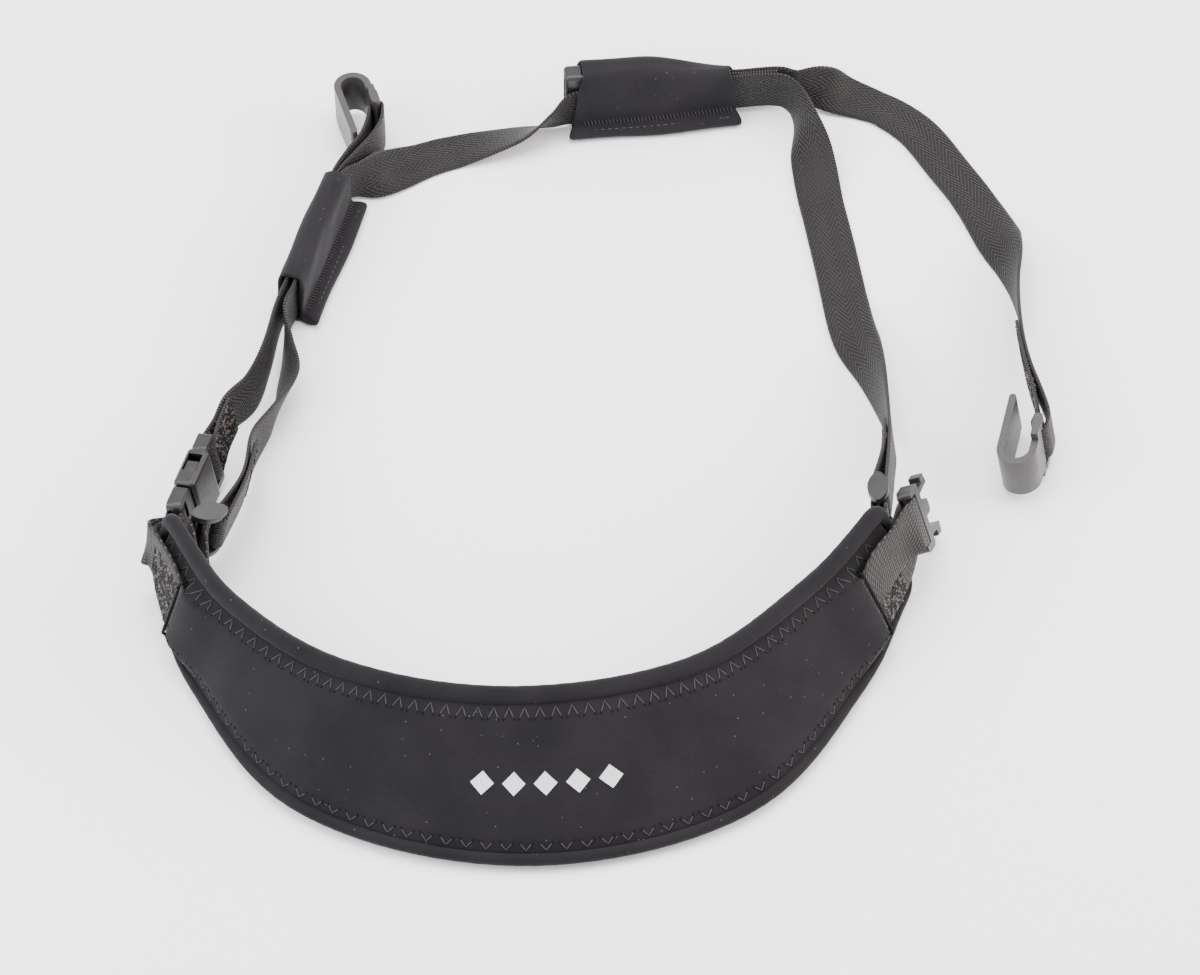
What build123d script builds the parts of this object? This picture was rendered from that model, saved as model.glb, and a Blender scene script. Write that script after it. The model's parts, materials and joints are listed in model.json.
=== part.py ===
from build123d import *
import os
from math import cos, radians, sin

# Two-hook instrument neck strap, laid out as a ring on a flat surface. Millimetres, +Z up.
# The origin is under the centre of the ring, on the surface. The padded band is at the front (-Y),
# the two sewn sleeves and the open female buckle half are at the back (+Y).

# ---- webbing ----
WEB_WIDTH = 20.0
WEB_THICK = 1.4
LAYER_STEP = 1.6        # pitch of two sewn webbing layers
SECTION_STEP = 7.0      # distance between the sections of a strap

# ---- pad ----
PAD_CORE = 4.0          # foam core thickness
PAD_SKIN = 1.4          # face and lining thickness
PAD_GAP = 0.05          # air between laminated layers
ROLL_UPPER = 7.5        # width of the rolled upper edge
ROLL_LOWER = 5.0        # width of the rolled lower edge
ROLL_END = 5.0          # width of the rolled ends
ROLL_THICK = 6.6
ROLL_ROUND = 2.4

# ---- plastic hardware ----
BAR_R = 1.9             # radius of a web bar
BAR_CLEAR = 0.35        # play between a bar and the webbing round it
TURN_R = BAR_R + BAR_CLEAR + WEB_THICK / 2
SLOT_LONG = 21.0        # length of a web slot, across the strap
BUCKLE_WIDTH = 27.0
RAIL_WIDE = (BUCKLE_WIDTH - SLOT_LONG) / 2
BUCKLE_THICK = 9.4
RAIL_THICK = 6.0
RAIL_PAST_BAR = 2.0     # how far a male rail runs on behind the bar's axis
MALE_CORNER = 2.6
SHOULDER_X = 4.4        # from the bar's axis to the far side of its slot
SHOULDER_LONG = 5.6
MALE_END = SHOULDER_X + SHOULDER_LONG
ARM_LONG = 15.0
ARM_WIDE = 2.4
ARM_THICK = 5.0
ARM_Y = 8.6             # an arm's middle, from the buckle's middle line
ARM_GAP = 0.15          # play between an arm's root and the shoulder
WING_LONG = 7.0         # catch wing at an arm's end
WING_SLANT = 1.5
WING_OUT = 12.9
CATCH_IN = 10.2
TONGUE_LONG = 13.0
TONGUE_WIDE = 6.0
TONGUE_THICK = 2.4
FEMALE_LONG = 20.0
FEMALE_WALL = 1.3
FEMALE_END_WALL = 2.0
FEMALE_ROUND = 2.2
FEMALE_BAR_GAP = 1.0    # from the far side of the web slot to the shell
WINDOW = (9.0, 4.0, 6.0)    # side window: length, depth and height
WINDOW_X = 12.0         # from the mouth to the middle of a window
MATED_GAP = 0.3
ADJUSTER_LONG = 16.0
ADJUSTER_WIDE = 8.4
ADJUSTER_BAR_X = 5.0
ADJUSTER_BAR_R = 1.6
ADJUSTER_MIDDLE_R = 1.1
ADJUSTER_TURN_R = ADJUSTER_BAR_R + BAR_CLEAR + WEB_THICK / 2
HOOK_WIDTH = 20.0
HOOK_FLARE = 27.0
HOOK_THICK = 3.0
HOOK_INNER_R = 5.2
HOOK_MID_R = HOOK_INNER_R + HOOK_THICK / 2
HOOK_LEG = 27.0         # straight free leg
HOOK_PLATE = (5.0, 10.2)  # stretch of the slotted leg that spreads out to the flare
HOOK_BAR_X = 14.6       # from the bend's centre to the web bar's axis

# ---- sleeves ----
SLEEVE_LONG = 68.0
NEOPRENE = 1.8
BORE_NARROW = (8.2, 21.2)
BORE_WIDE = (12.4, 27.8)
WIDE_LONG = 26.0        # stretch of the rear sleeve that covers the female buckle half
FLANGE = 7.0
FLANGE_THICK = 5.0
SLEEVE_ROUND = 5.5
BORE_ROUND = 1.5

UP = Vector(0, 0, 1)


# ---------------------------------------------------------------- geometry helpers
def smooth_line(knots, step):
    """Values along a smooth curve through the knots. The first three values of a knot are its place."""
    lengths = [0.0]
    for a, b in zip(knots, knots[1:]):
        lengths.append(lengths[-1] + (Vector(*b[:3]) - Vector(*a[:3])).length)
    last = len(knots) - 1
    slopes = []
    for i in range(last + 1):
        low, high = max(i - 1, 0), min(i + 1, last)
        run = lengths[high] - lengths[low]
        slopes.append([(q - p) / run for p, q in zip(knots[low], knots[high])])
    line = []
    for i in range(last):
        run = lengths[i + 1] - lengths[i]
        pieces = max(1, round(run / step))
        for k in range(pieces + (i == last - 1)):
            s = k / pieces
            h0, h1 = 2 * s**3 - 3 * s**2 + 1, 3 * s**2 - 2 * s**3
            g0, g1 = s**3 - 2 * s**2 + s, s**3 - s**2
            ends = zip(knots[i], knots[i + 1], slopes[i], slopes[i + 1])
            line.append([h0 * p + h1 * q + run * (g0 * m + g1 * n) for p, q, m, n in ends])
    return line


def square_planes(line):
    """Planes square to a line of (place, width direction): x along the width, z along the line."""
    places = [Vector(*row[:3]) for row in line]
    planes = []
    for i, row in enumerate(line):
        along = (places[min(i + 1, len(line) - 1)] - places[max(i - 1, 0)]).normalized()
        across = Vector(*row[3:6])
        across = (across - along * across.dot(along)).normalized()
        planes.append(Plane(origin=places[i], x_dir=across, z_dir=along))
    return planes


def strap(knots):
    """Webbing of constant section through knots of (x, y, z, width direction), never below the surface."""
    with BuildPart() as band:
        for plane in square_planes(smooth_line(knots, SECTION_STEP)):
            reach = WEB_WIDTH / 2 * abs(plane.x_dir.Z) + WEB_THICK / 2 * abs(plane.y_dir.Z)
            plane.origin += UP * max(0, reach - plane.origin.Z)
            with BuildSketch(plane):
                Rectangle(WEB_WIDTH, WEB_THICK)
        loft(ruled=True)
    return band.part


def hardware_plane(place, along, up):
    """Plane of a flat plastic piece: x along the strap, y along its bars, z through its thickness."""
    up = up.normalized()
    along = (along - up * along.dot(up)).normalized()
    return Plane(origin=place, x_dir=along, z_dir=along.cross(up))


def knot(place, width_dir):
    """A knot of a strap's route from its place and its width direction."""
    return (*place, *width_dir)


def turn(plane, x, radius, start, sweep, count=7):
    """Knots of a half turn of webbing round a bar at x on the plane, whose bars lie along its y."""
    knots = []
    for i in range(count):
        angle = radians(start + sweep * i / (count - 1))
        spot = Vector(x + radius * cos(angle), 0, radius * sin(angle))
        knots.append(knot(plane.from_local_coords(spot), plane.y_dir))
    return knots


def beside(plane, x, offset):
    """A knot of webbing beside a bar, offset through the thickness of the plastic piece."""
    return knot(plane.from_local_coords(Vector(x, 0, offset)), plane.y_dir)


# ---------------------------------------------------------------- pad
# Knots of the pad's lower and upper edges, left to right: the band leans inwards, most at the front.
PAD_LOWER = [(-180, -77, 2.0), (-164, -126, 2.0), (-117, -189, 2.0), (-33, -213, 2.0),
             (50, -191, 2.0), (98, -131, 2.0), (118, -84, 2.0)]
PAD_UPPER = [(-169, -81, 46), (-145, -116, 46), (-97, -147.5, 44), (-33, -158.5, 43.5),
             (33, -144, 44), (79, -105.5, 46), (106, -70, 46)]
pad_line = smooth_line([low + high for low, high in zip(PAD_LOWER, PAD_UPPER)], 16.0)
pad_centres = []
for row in pad_line:
    low, high = Vector(*row[:3]), Vector(*row[3:6])
    pad_centres.append([*((low + high) * 0.5), *(high - low)])
pad_planes = square_planes(pad_centres)
pad_widths = [Vector(*row[3:6]).length for row in pad_centres]
SKIN_IN = PAD_CORE / 2 + PAD_GAP
PAD_FACE = SKIN_IN + PAD_SKIN


def pad_layer(low_margin, high_margin, inner, outer):
    """A layer of the pad: margins from its lower and upper edges, and its two depths."""
    with BuildPart() as layer:
        for plane, width in zip(pad_planes, pad_widths):
            start, stop = low_margin - width / 2, width / 2 - high_margin
            with BuildSketch(plane):
                with Locations(((start + stop) / 2, (inner + outer) / 2)):
                    Rectangle(stop - start, outer - inner)
        loft(ruled=True)
    return layer.part


def pad_roll(size, side):
    """The rolled edge along the upper (side 1) or lower (side -1) edge of the pad."""
    with BuildPart() as roll:
        for plane, width in zip(pad_planes, pad_widths):
            with BuildSketch(plane):
                with Locations((side * (width - size) / 2, 0)):
                    RectangleRounded(size, ROLL_THICK, ROLL_ROUND)
        loft(ruled=True)
    return roll.part


def end_roll(plane, width, side):
    """The rolled edge across one end of the pad."""
    with BuildPart() as roll:
        with BuildSketch(plane.offset(side * PAD_GAP)):
            Rectangle(width - 2, ROLL_THICK)
        extrude(amount=side * ROLL_END)
        long_edges = roll.edges().filter_by(Axis(plane.origin, plane.x_dir))
        far = long_edges.sort_by(Axis(plane.origin, plane.z_dir * side))[-2:]
        fillet(far, ROLL_ROUND)
    return roll.part


pad_core = pad_layer(ROLL_LOWER + PAD_GAP, ROLL_UPPER + PAD_GAP, -PAD_CORE / 2, PAD_CORE / 2)
pad_face = pad_layer(ROLL_LOWER + PAD_GAP, ROLL_UPPER + PAD_GAP, SKIN_IN, PAD_FACE)
pad_lining = pad_layer(ROLL_LOWER + PAD_GAP, ROLL_UPPER + PAD_GAP, -PAD_FACE, -SKIN_IN)
roll_upper = pad_roll(ROLL_UPPER, 1)
roll_lower = pad_roll(ROLL_LOWER, -1)
roll_left = end_roll(pad_planes[0], pad_widths[0], -1)
roll_right = end_roll(pad_planes[-1], pad_widths[-1], 1)


# ---------------------------------------------------------------- plastic pieces
def web_bar(plane):
    """The round bar at the plane's origin that the webbing turns round."""
    foot = plane.from_local_coords(Vector(0, (RAIL_WIDE - BUCKLE_WIDTH) / 2, 0))
    with BuildPart() as bar:
        with BuildSketch(Plane(foot, x_dir=plane.x_dir, z_dir=plane.y_dir)):
            Circle(BAR_R)
        extrude(amount=BUCKLE_WIDTH - RAIL_WIDE)
    return bar.part


def male_half(plane):
    """Frame, web bar, shoulder and guide tongue of a side-release buckle's male half."""
    with BuildPart() as male:
        with BuildSketch(plane.offset(-RAIL_THICK / 2)):
            with Locations(((MALE_END - RAIL_PAST_BAR) / 2, 0)):
                RectangleRounded(MALE_END + RAIL_PAST_BAR, BUCKLE_WIDTH, MALE_CORNER)
            with Locations((SHOULDER_X / 2 - 2, 0)):
                Rectangle(SHOULDER_X + 4, SLOT_LONG, mode=Mode.SUBTRACT)
        extrude(amount=RAIL_THICK)
        add(web_bar(plane))
        with BuildSketch(plane.offset(-TONGUE_THICK / 2)):
            with Locations((MALE_END + (TONGUE_LONG - 1) / 2, 0)):
                Rectangle(TONGUE_LONG + 1, TONGUE_WIDE)
        extrude(amount=TONGUE_THICK)
        tip = male.edges().filter_by(Axis(plane.origin, plane.z_dir))
        fillet(tip.sort_by(Axis(plane.origin, plane.x_dir))[-2:], TONGUE_WIDE * 0.4)
    return male.part


def spring_arm(plane, side):
    """One spring arm of the male half with its catch wing, on the upper or lower side."""
    root, tip = MALE_END + ARM_GAP, MALE_END + ARM_LONG
    with BuildPart() as arm:
        with BuildSketch(plane.offset(-ARM_THICK / 2)):
            with BuildLine():
                start = (root, side * (ARM_Y - ARM_WIDE / 2))
                tip_in = (tip, side * ARM_Y)
                wing = (tip - WING_SLANT, side * WING_OUT)
                catch = (tip - WING_LONG, side * WING_OUT)
                catch_in = (tip - WING_LONG, side * CATCH_IN)
                end = (root, side * (ARM_Y + ARM_WIDE / 2))
                Polyline(start, tip_in, wing, catch, catch_in, end, start)
            make_face()
        extrude(amount=ARM_THICK)
    return arm.part


def female_half(plane):
    """Shell of the female half: the plane is at its web bar, and its mouth faces -x."""
    mouth_x = -(SHOULDER_X + FEMALE_BAR_GAP + FEMALE_LONG)
    with BuildPart() as shell:
        with BuildSketch(plane.offset(-BUCKLE_THICK / 2)):
            with Locations((mouth_x + FEMALE_LONG / 2, 0)):
                RectangleRounded(FEMALE_LONG, BUCKLE_WIDTH, 2.0)
        extrude(amount=BUCKLE_THICK)
        rims = shell.edges().filter_by(Axis(plane.origin, plane.x_dir))
        fillet(rims, FEMALE_ROUND)
        with BuildSketch(plane.offset(-RAIL_THICK / 2)):
            with Locations((-1.5, 0)):
                RectangleRounded(10.0, BUCKLE_WIDTH - 0.6, 2.0)
            with Locations((2 - SHOULDER_X / 2, 0)):
                Rectangle(SHOULDER_X + 4, SLOT_LONG, mode=Mode.SUBTRACT)
        extrude(amount=RAIL_THICK)
        add(web_bar(plane))
        mouth = plane.from_local_coords(Vector(mouth_x, 0, 0))
        with BuildSketch(Plane(mouth, x_dir=plane.y_dir, z_dir=plane.x_dir)):
            RectangleRounded(BUCKLE_WIDTH - 2 * FEMALE_WALL, BUCKLE_THICK - 2 * FEMALE_WALL, 1.4)
        extrude(amount=FEMALE_LONG - FEMALE_END_WALL, mode=Mode.SUBTRACT)
        for side in (1, -1):
            with BuildSketch(plane.offset(-WINDOW[2] / 2)):
                with Locations((mouth_x + WINDOW_X, side * (BUCKLE_WIDTH / 2 - 0.2))):
                    Rectangle(WINDOW[0], WINDOW[1])
            extrude(amount=WINDOW[2], mode=Mode.SUBTRACT)
    return shell.part


def adjuster(plane):
    """Ladder-lock adjuster: two leaf-shaped end plates joined by three bars."""
    with BuildPart() as lock:
        for low in (-BUCKLE_WIDTH / 2, SLOT_LONG / 2):
            foot = Plane(plane.from_local_coords(Vector(0, low, 0)), x_dir=plane.x_dir, z_dir=plane.y_dir)
            with BuildSketch(foot):
                with BuildLine():
                    ends = ((-ADJUSTER_LONG / 2, 0), (ADJUSTER_LONG / 2, 0))
                    ThreePointArc(ends[0], (0.6, ADJUSTER_WIDE / 2), ends[1])
                    ThreePointArc(ends[0], (0.6, -ADJUSTER_WIDE / 2), ends[1])
                make_face()
                fillet(vertices(), 1.8)
            extrude(amount=RAIL_WIDE)
        foot = Plane(plane.from_local_coords(Vector(0, -SLOT_LONG / 2 - 1, 0)),
                     x_dir=plane.x_dir, z_dir=plane.y_dir)
        with BuildSketch(foot):
            with Locations((-ADJUSTER_BAR_X, 0), (ADJUSTER_BAR_X, 0)):
                Circle(ADJUSTER_BAR_R)
            Circle(ADJUSTER_MIDDLE_R)
        extrude(amount=SLOT_LONG + 2)
    return lock.part


def hook(plane, side):
    """J-hook: the plane is at the bend's centre, x towards the open end, slotted leg on the side given."""
    leg_y = side * HOOK_MID_R

    def across(low):
        """A plane across the band, low being its distance from the hook's middle."""
        return Plane(plane.from_local_coords(Vector(0, low, 0)), x_dir=plane.x_dir, z_dir=plane.y_dir)

    with BuildPart() as j_hook:
        with BuildSketch(across(-HOOK_WIDTH / 2)):
            with BuildLine():
                Line((HOOK_LEG, leg_y), (0, leg_y))
                ThreePointArc((0, leg_y), (-HOOK_MID_R, 0), (0, -leg_y))
                Line((0, -leg_y), (HOOK_PLATE[0] + 1, -leg_y))
                offset(amount=HOOK_THICK / 2, side=Side.BOTH)
            make_face()
        extrude(amount=HOOK_WIDTH)
        with BuildSketch(across(-HOOK_FLARE / 2)):
            with Locations((sum(HOOK_PLATE) / 2, -leg_y)):
                Rectangle(HOOK_PLATE[1] - HOOK_PLATE[0], HOOK_THICK)
        extrude(amount=HOOK_FLARE)
        for low in (-HOOK_FLARE / 2, SLOT_LONG / 2):
            with BuildSketch(across(low)):
                with Locations(((HOOK_PLATE[1] - 2 + HOOK_BAR_X + BAR_R) / 2, -leg_y)):
                    RectangleRounded(HOOK_BAR_X + BAR_R - HOOK_PLATE[1] + 2, 2 * BAR_R, BAR_R - 0.1)
            extrude(amount=(HOOK_FLARE - SLOT_LONG) / 2)
        with BuildSketch(across(1 - HOOK_FLARE / 2)):
            with Locations((HOOK_BAR_X, -leg_y)):
                Circle(BAR_R)
        extrude(amount=HOOK_FLARE - 2)
    return j_hook.part


def sleeve(plane, sizes, flange_side):
    """Neoprene tube with a sewn flange. Sizes are (distance along x, bore width, bore height)."""
    def section(x):
        return Plane(plane.from_local_coords(Vector(x, 0, 0)), x_dir=plane.y_dir, z_dir=plane.x_dir)

    with BuildPart() as tube:
        for x, width, height in sizes:
            with BuildSketch(section(x)):
                with Locations((0, NEOPRENE + height / 2)):
                    RectangleRounded(width + 2 * NEOPRENE, height + 2 * NEOPRENE, SLEEVE_ROUND)
        loft(ruled=True)
        for x, width, height in sizes:
            with BuildSketch(section(x)):
                middle = flange_side * (width / 2 + NEOPRENE + FLANGE / 2 - 1)
                with Locations((middle, FLANGE_THICK / 2 + 0.4)):
                    RectangleRounded(FLANGE + 2, FLANGE_THICK, 1.8)
        loft(ruled=True)
        for x, width, height in sizes:
            with BuildSketch(section(x)):
                with Locations((0, NEOPRENE + height / 2)):
                    RectangleRounded(width, height, BORE_ROUND)
        loft(ruled=True, mode=Mode.SUBTRACT)
    return tube.part


# ---------------------------------------------------------------- layout of the hardware
def lean(heading, angle):
    """Width direction of a strap on edge: raised by the angle from flat, to the left of its heading."""
    left = Vector(-heading.Y, heading.X, 0).normalized()
    return left * cos(radians(angle)) + UP * sin(radians(angle))


LEFT_HEADING = Vector(0.269, 0.963, 0)
# Between the two web bars of a closed buckle.
MATED_RUN = MALE_END + MATED_GAP + FEMALE_LONG + FEMALE_BAR_GAP + SHOULDER_X
male_left_at = hardware_plane(Vector(-171.5, -58, 17), LEFT_HEADING, lean(LEFT_HEADING, 83))
female_left_at = hardware_plane(male_left_at.from_local_coords(Vector(MATED_RUN, 0, 0)),
                                LEFT_HEADING, lean(LEFT_HEADING, 83))
male_right_at = hardware_plane(Vector(122, -65, 27), Vector(0.23, 0.88, -0.36), Vector(-0.33, 0.55, 0.76))
adjuster_left_at = hardware_plane(Vector(-160, -67, 24.5), Vector(0.94, 0.34, 0), Vector(0.2, -0.05, 0.97))
adjuster_right_at = hardware_plane(Vector(109.5, -55, 24.5), Vector(0.05, 0.99, 0), Vector(-0.15, 0.03, 0.98))
hook_left_at = hardware_plane(Vector(-112, 187, 14), Vector(0.3, -0.954, 0), UP)
hook_right_at = hardware_plane(Vector(168, -23, 14), Vector(0.25, 0.965, 0.03), Vector(-0.2, 0, 0.98))
bar_left_at = hook_left_at.offset(-HOOK_MID_R)
bar_right_at = hook_right_at.offset(HOOK_MID_R)
sleeve_left_at = Plane((-134, 70, 0), x_dir=(0.257, 0.966, 0), z_dir=(0, 0, 1))
sleeve_rear_at = Plane((-11, 190, 0), x_dir=(0.995, 0.1, 0), z_dir=(0, 0, 1))
female_right_at = hardware_plane(sleeve_rear_at.from_local_coords(Vector(17.5, 1.0, 15.7)),
                                 sleeve_rear_at.x_dir, UP)


# ---------------------------------------------------------------- routes of the webbing
def on_pad(index, offset, beyond=0.0):
    """A knot on the pad's section of that index, offset outwards and moved along by beyond."""
    plane = pad_planes[index]
    return knot(plane.from_local_coords(Vector(0, offset, beyond)), plane.x_dir)


def in_sleeve(plane, x, y, z=NEOPRENE + BORE_NARROW[1] / 2):
    """A knot of webbing on edge inside a sleeve."""
    return knot(plane.from_local_coords(Vector(x, y, z)), UP)


def lying(x, y, width_dir, lift=0.0):
    """A knot of webbing that rests on the surface, or lift above it."""
    across = Vector(*width_dir).normalized()
    rise = WEB_WIDTH / 2 * abs(across.Z) + WEB_THICK / 2 * (1 - across.Z**2)**0.5
    return knot(Vector(x, y, rise + lift + 0.1), across)


def half_twisted(knots):
    """The same knots with the strap turned over."""
    return [(*row[:3], *(-value for value in row[3:])) for row in knots]


def free(x, y, z, plane):
    """A knot at a place, with the width direction of a plastic piece's bars."""
    return knot(Vector(x, y, z), plane.y_dir)


UNDER = PAD_FACE + 0.9
OVER = UNDER + LAYER_STEP
tab_outer_left = strap([
    on_pad(2, UNDER), on_pad(1, UNDER), on_pad(0, UNDER), on_pad(0, UNDER, -7),
    beside(male_left_at, -6, 2.2), *turn(male_left_at, 0, TURN_R, 90, -180),
    beside(male_left_at, -6, -2.2), on_pad(0, OVER, -7), on_pad(0, OVER), on_pad(1, OVER), on_pad(2, OVER)])
tab_outer_right = strap([
    on_pad(-3, UNDER), on_pad(-2, UNDER + 0.2), on_pad(-1, UNDER + 0.7),
    beside(male_right_at, -7, -2.2), beside(male_right_at, -3, -2.8),
    *turn(male_right_at, 0, TURN_R, -90, 180), beside(male_right_at, -3, 2.8), beside(male_right_at, -7, 2.2),
    on_pad(-1, OVER + 0.9), on_pad(-2, OVER + 0.3), on_pad(-3, OVER)])
tab_inner_left = strap([
    on_pad(3, -UNDER), on_pad(2, -UNDER - 0.2), on_pad(1, -UNDER - 1.6),
    beside(adjuster_left_at, -8.2, 7), *turn(adjuster_left_at, -ADJUSTER_BAR_X, ADJUSTER_TURN_R, 187, 180),
    beside(adjuster_left_at, -3.3, 7), on_pad(1, -OVER - 3.9), on_pad(2, -OVER - 0.4), on_pad(3, -OVER)])
tab_inner_right = strap([
    on_pad(-4, -UNDER), on_pad(-3, -UNDER), on_pad(-2, -UNDER - 0.4), on_pad(-1, -UNDER - 1.2),
    beside(adjuster_right_at, -10, 2.2), *turn(adjuster_right_at, -ADJUSTER_BAR_X, ADJUSTER_TURN_R, 90, -180),
    beside(adjuster_right_at, -10, -2.6),
    on_pad(-1, -OVER - 2.6), on_pad(-2, -OVER - 0.6), on_pad(-3, -OVER), on_pad(-4, -OVER)])

# Sideways places of the three webbing layers in each sleeve.
MAIN_SIDE, TAIL_SIDE, HOOK_SIDE = -1.9, 0.0, 1.9
MAIN_BESIDE_BUCKLE = -5.05
ON_EDGE = (0, 0, 1)

main_strap = strap([
    free(-144.2, -21, 16, adjuster_left_at), free(-146.6, -42, 20, adjuster_left_at),
    *turn(adjuster_left_at, ADJUSTER_BAR_X, ADJUSTER_TURN_R, 28, 180),
    free(-148.9, -41.5, 20, adjuster_left_at), lying(-144.6, -13, ON_EDGE, 3),
    lying(-138.5, 3, (0.15, 0, 1), 1), lying(-134.5, 16, (0.4, 0, 0.9)),
    lying(-133, 28, (0.5, 0, 0.86)), lying(-134, 42, (0.25, 0, 0.97)),
    in_sleeve(sleeve_left_at, -12, MAIN_SIDE), in_sleeve(sleeve_left_at, 0, MAIN_SIDE),
    in_sleeve(sleeve_left_at, 34, MAIN_SIDE), in_sleeve(sleeve_left_at, SLEEVE_LONG, MAIN_SIDE),
    lying(-108.5, 142, ON_EDGE, 1), lying(-100, 147, (-0.35, 0.45, 0.8)),
    lying(-92, 154, (-0.5, 0.75, 0.45)), lying(-82, 162, (-0.45, 0.88, 0.1)),
    lying(-68, 168.5, (-0.35, 0.93, 0)), lying(-52, 172, (-0.3, 0.92, -0.25)),
    lying(-37, 175.5, (-0.2, 0.8, -0.5)), lying(-24, 180, (-0.1, 0.45, -0.9)),
    *half_twisted([
        in_sleeve(sleeve_rear_at, -3, MAIN_BESIDE_BUCKLE, 12.4),
        in_sleeve(sleeve_rear_at, 24, MAIN_BESIDE_BUCKLE, 12.4),
        in_sleeve(sleeve_rear_at, 46, -3.2), in_sleeve(sleeve_rear_at, SLEEVE_LONG, MAIN_SIDE),
        in_sleeve(sleeve_rear_at, SLEEVE_LONG + 20, MAIN_SIDE - 0.8), lying(83.5, 192, (0.1, 0, 1), 0.5),
        lying(87.5, 178, (0.4, 0.1, 0.9)), lying(90.5, 160, (0.9, 0.2, 0.4)), lying(93.5, 138, (1, 0.14, 0)),
        lying(97.5, 111, (1, 0.14, 0)), lying(101, 84, (1, 0.1, 0)), lying(104.5, 56, (0.9, 0.1, 0.4)),
        lying(110, 35, (0.5, 0.1, 0.85)), lying(114.5, 12, (0.1, 0, 1), 1),
        free(116.6, -8, 14.5, adjuster_right_at), free(115.0, -28, 20, adjuster_right_at),
        *turn(adjuster_right_at, ADJUSTER_BAR_X, ADJUSTER_TURN_R, 90, 180),
        free(112.7, -27.6, 20, adjuster_right_at), free(114.4, -10, 15.5, adjuster_right_at)])])

hook_strap_left = strap([
    beside(female_left_at, 26, 0.95), beside(female_left_at, 14, 1.1), beside(female_left_at, 6, 2.2),
    *turn(female_left_at, 0, TURN_R, 90, 180), beside(female_left_at, 6, -2.2),
    beside(female_left_at, 14, -1.1), beside(female_left_at, 26, -0.95),
    lying(-147.8, 18, (-0.15, 0.05, 1), 1.5), lying(-142.6, 36, (-0.05, 0, 1), 2),
    in_sleeve(sleeve_left_at, -12, HOOK_SIDE), in_sleeve(sleeve_left_at, 0, HOOK_SIDE),
    in_sleeve(sleeve_left_at, 34, HOOK_SIDE), in_sleeve(sleeve_left_at, SLEEVE_LONG, HOOK_SIDE),
    free(-112.8, 147.5, 13.8, hook_left_at), free(-107.3, 157.5, 14, hook_left_at),
    free(-104.8, 167, 14, hook_left_at), *turn(bar_left_at, HOOK_BAR_X, TURN_R, 90, 180),
    free(-98.7, 167, 14, hook_left_at), free(-102.3, 157.5, 14, hook_left_at),
    free(-108.8, 147.5, 13.6, hook_left_at), in_sleeve(sleeve_left_at, SLEEVE_LONG, TAIL_SIDE),
    in_sleeve(sleeve_left_at, SLEEVE_LONG - 30, TAIL_SIDE)])

hook_strap_right = strap([
    in_sleeve(sleeve_rear_at, SLEEVE_LONG + 19, TAIL_SIDE), in_sleeve(sleeve_rear_at, SLEEVE_LONG, TAIL_SIDE),
    in_sleeve(sleeve_rear_at, 48, 0.2, 14.5), in_sleeve(sleeve_rear_at, 31, 0.4, 16.6),
    beside(female_right_at, 6, 2.2), *turn(female_right_at, 0, TURN_R, 90, 180),
    beside(female_right_at, 6, -2.2), in_sleeve(sleeve_rear_at, 31, 2.6, 16.6),
    in_sleeve(sleeve_rear_at, 48, HOOK_SIDE, 14.5),
    in_sleeve(sleeve_rear_at, SLEEVE_LONG, HOOK_SIDE), in_sleeve(sleeve_rear_at, SLEEVE_LONG + 20, HOOK_SIDE),
    lying(84, 199.8, ON_EDGE, 1), lying(96, 200, (0.1, 0.5, 0.9), 1), lying(108, 200.5, (0.15, 1, 0.3)),
    lying(120, 197, (0.45, 0.9, 0)), lying(129.7, 190, (0.6, 0.8, 0)), lying(139, 179.5, (0.75, 0.65, 0)),
    lying(149.5, 160, (0.85, 0.5, 0)), lying(161.5, 136, (0.9, 0.4, 0)), lying(168, 116, (0.9, 0.3, 0.3)),
    lying(172.3, 97, (0.5, 0.1, 0.85)), lying(174.2, 77, ON_EDGE), free(174.6, 52, 12.5, hook_right_at),
    free(176.4, 27, 14.5, hook_right_at), beside(bar_right_at, HOOK_BAR_X + 8, 2.2),
    *turn(bar_right_at, HOOK_BAR_X, TURN_R, 90, 180), beside(bar_right_at, HOOK_BAR_X + 8, -2.2),
    free(174.6, 27, 14.5, hook_right_at), free(173.0, 48, 12.8, hook_right_at)])

# ---------------------------------------------------------------- the pieces and their files
NARROW_SLEEVE = [(0, *BORE_NARROW), (SLEEVE_LONG, *BORE_NARROW)]
REAR_SLEEVE = [(0, *BORE_WIDE), (WIDE_LONG, *BORE_WIDE), (SLEEVE_LONG, *BORE_NARROW)]
pieces = {
    "pad_core": pad_core, "pad_face": pad_face, "pad_lining": pad_lining,
    "roll_upper": roll_upper, "roll_lower": roll_lower, "roll_left": roll_left, "roll_right": roll_right,
    "tab_outer_left": tab_outer_left, "tab_outer_right": tab_outer_right,
    "tab_inner_left": tab_inner_left, "tab_inner_right": tab_inner_right,
    "main_strap": main_strap, "hook_strap_left": hook_strap_left, "hook_strap_right": hook_strap_right,
    "adjuster_left": adjuster(adjuster_left_at), "adjuster_right": adjuster(adjuster_right_at),
    "buckle_male_left": male_half(male_left_at), "buckle_male_right": male_half(male_right_at),
    "prong_left_upper": spring_arm(male_left_at, 1), "prong_left_lower": spring_arm(male_left_at, -1),
    "prong_right_upper": spring_arm(male_right_at, 1), "prong_right_lower": spring_arm(male_right_at, -1),
    "buckle_female_left": female_half(female_left_at), "buckle_female_right": female_half(female_right_at),
    "hook_left": hook(hook_left_at, -1), "hook_right": hook(hook_right_at, 1),
    "sleeve_left": sleeve(sleeve_left_at, NARROW_SLEEVE, -1),
    "sleeve_rear": sleeve(sleeve_rear_at, REAR_SLEEVE, -1),
}

TO_ORIGIN = Location((0.3, 1.9, 0))     # brings the middle of the ring's outline over the origin
os.makedirs("parts", exist_ok=True)
for name, piece in pieces.items():
    piece = piece.moved(TO_ORIGIN)
    piece.label = name
    export_step(piece, f"parts/{name}.step")
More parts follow.
